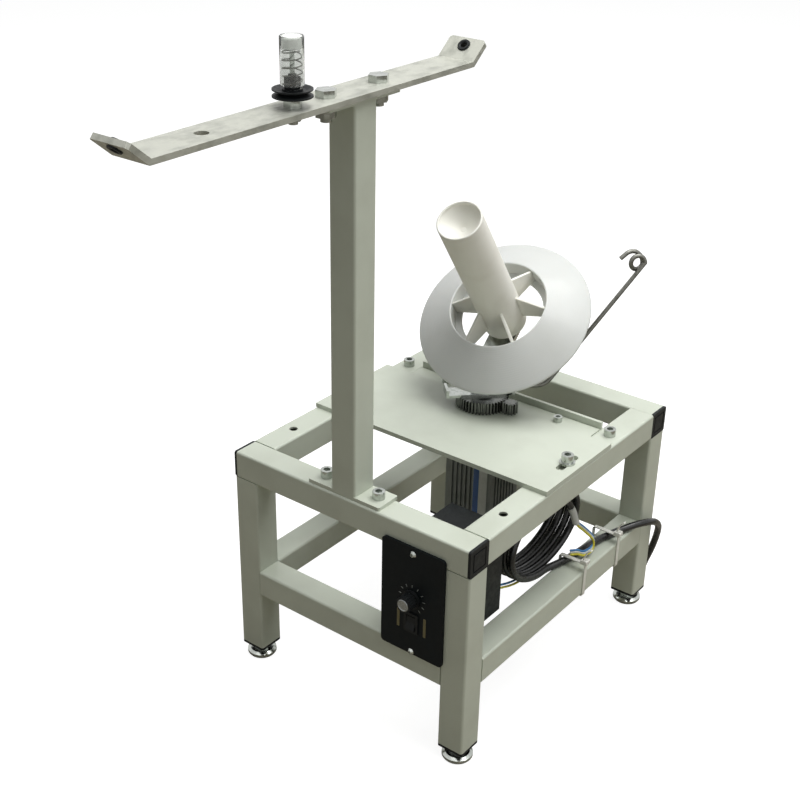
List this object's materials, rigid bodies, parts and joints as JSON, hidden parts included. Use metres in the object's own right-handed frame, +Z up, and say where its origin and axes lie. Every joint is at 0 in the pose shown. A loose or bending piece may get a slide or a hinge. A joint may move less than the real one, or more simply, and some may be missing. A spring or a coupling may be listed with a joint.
{
  "type": "yarn ball winder",
  "caption": "Motor-driven yarn ball winder: square-tube stand, tilted white bobbin, turning wire guide arm, and a post with a guide bar and spring tensioner.",
  "frame": {"origin": "on the floor, at the middle of the four levelling feet", "axes": "+Z up, +X to the right of someone facing the control panel, +Y from the panel's side to the back"},
  "size_m": [0.315, 0.7415, 0.7137],
  "materials": {
    "frame_paint": "pale grey-green paint, satin",
    "black_plastic": "moulded black plastic",
    "panel_face": "printed black panel",
    "zinc_steel": "bright zinc plating",
    "bar_steel": "bare mill steel",
    "turned_steel": "turned steel",
    "gear_steel": "black oxide steel",
    "bobbin_white": "moulded white plastic",
    "bronze": "sintered bronze",
    "motor_black": "black extruded case",
    "motor_grey": "die-cast",
    "clear_sleeve": "clear plastic",
    "lead_black": "black sheath",
    "nylon": "natural nylon"
  },
  "bodies": {
    "frame": {"front_rail": "frame_paint", "rear_rail": "frame_paint", "side_rail_left": "frame_paint", "side_rail_right": "frame_paint", "leg_front_left": "frame_paint", "leg_front_right": "frame_paint", "leg_rear_left": "frame_paint", "leg_rear_right": "frame_paint", "lower_rail_front": "frame_paint", "lower_rail_rear": "frame_paint", "lower_rail_left": "frame_paint", "lower_rail_right": "frame_paint", "drive_plate": "frame_paint", "rear_crossbar": "frame_paint", "crossbar_strip": "frame_paint", "post": "frame_paint", "post_base": "frame_paint", "post_head": "frame_paint", "tube_end_caps": "black_plastic", "control_box": "black_plastic", "rocker_frame": "black_plastic", "bar_eyelets": "black_plastic", "tension_disc_lower": "black_plastic", "tension_collar": "black_plastic", "mains_plug": "black_plastic", "lead_gland": "black_plastic", "control_panel": "panel_face", "levelling_feet": "zinc_steel", "rail_bolts": "zinc_steel", "crossbar_bolts": "zinc_steel", "post_base_bolts": "zinc_steel", "post_nuts": "zinc_steel", "bar_bolts": "zinc_steel", "tension_stud": "zinc_steel", "tension_nut": "zinc_steel", "spindle_bracket": "zinc_steel", "panel_screws": "zinc_steel", "tension_spring": "zinc_steel", "guide_bar": "bar_steel", "centre_shaft": "turned_steel", "thrust_washer": "turned_steel", "bobbin_spindle": "turned_steel", "motor_body": "motor_black", "gear_head": "motor_grey", "motor_end_cover": "motor_grey", "mains_lead": "lead_black", "cable_ties": "nylon"},
    "flyer": {"flyer_gear": "gear_steel", "flyer_bar": "zinc_steel", "flyer_collar": "turned_steel", "flyer_wire": "zinc_steel"},
    "pinion": {"motor_pinion": "gear_steel"},
    "bobbin": {"bobbin_core": "bobbin_white", "bobbin_fins": "bobbin_white", "bobbin_flange": "bobbin_white", "bobbin_bushes": "bronze"},
    "speed_knob": {"speed_knob": "black_plastic"},
    "power_rocker": {"power_rocker": "black_plastic"},
    "tension_disc": {"tension_disc_upper": "black_plastic"},
    "tension_sleeve": {"tension_sleeve": "clear_sleeve"}
  },
  "joints": [
    {"name": "flyer_turn", "type": "hinge", "parent": "frame", "child": "flyer", "pos_m": [-0.007, 0.054, 0.27], "axis": [0, 0, 1], "continuous": true},
    {"name": "pinion_turn", "type": "hinge", "parent": "frame", "child": "pinion", "pos_m": [0.02888, 0.05588, 0.27], "axis": [0, 0, 1], "continuous": true},
    {"name": "bobbin_turn", "type": "hinge", "parent": "frame", "child": "bobbin", "pos_m": [-0.007, 0.054, 0.408], "axis": [0.0556, -0.5992, 0.7986], "continuous": true},
    {"name": "speed_knob_turn", "type": "hinge", "parent": "frame", "child": "speed_knob", "pos_m": [0.086, -0.193, 0.181], "axis": [0, -1, 0], "range_deg": [-140, 140]},
    {"name": "power_rocker_tip", "type": "hinge", "parent": "frame", "child": "power_rocker", "pos_m": [0.086, -0.191, 0.153], "axis": [1, 0, 0], "range_deg": [0, 15]},
    {"name": "tension_disc_turn", "type": "hinge", "parent": "frame", "child": "tension_disc", "pos_m": [-0.005, -0.249, 0.6685], "axis": [0, 0, 1], "continuous": true},
    {"name": "tension_set", "type": "slide", "parent": "frame", "child": "tension_sleeve", "axis": [0, 0, 1], "range_m": [-0.004, 0.004], "deforming": ["tension_spring"]}
  ],
  "couplings": [
    {"joint": "pinion_turn", "follows": "flyer_turn", "ratio": -3.75}
  ]
}
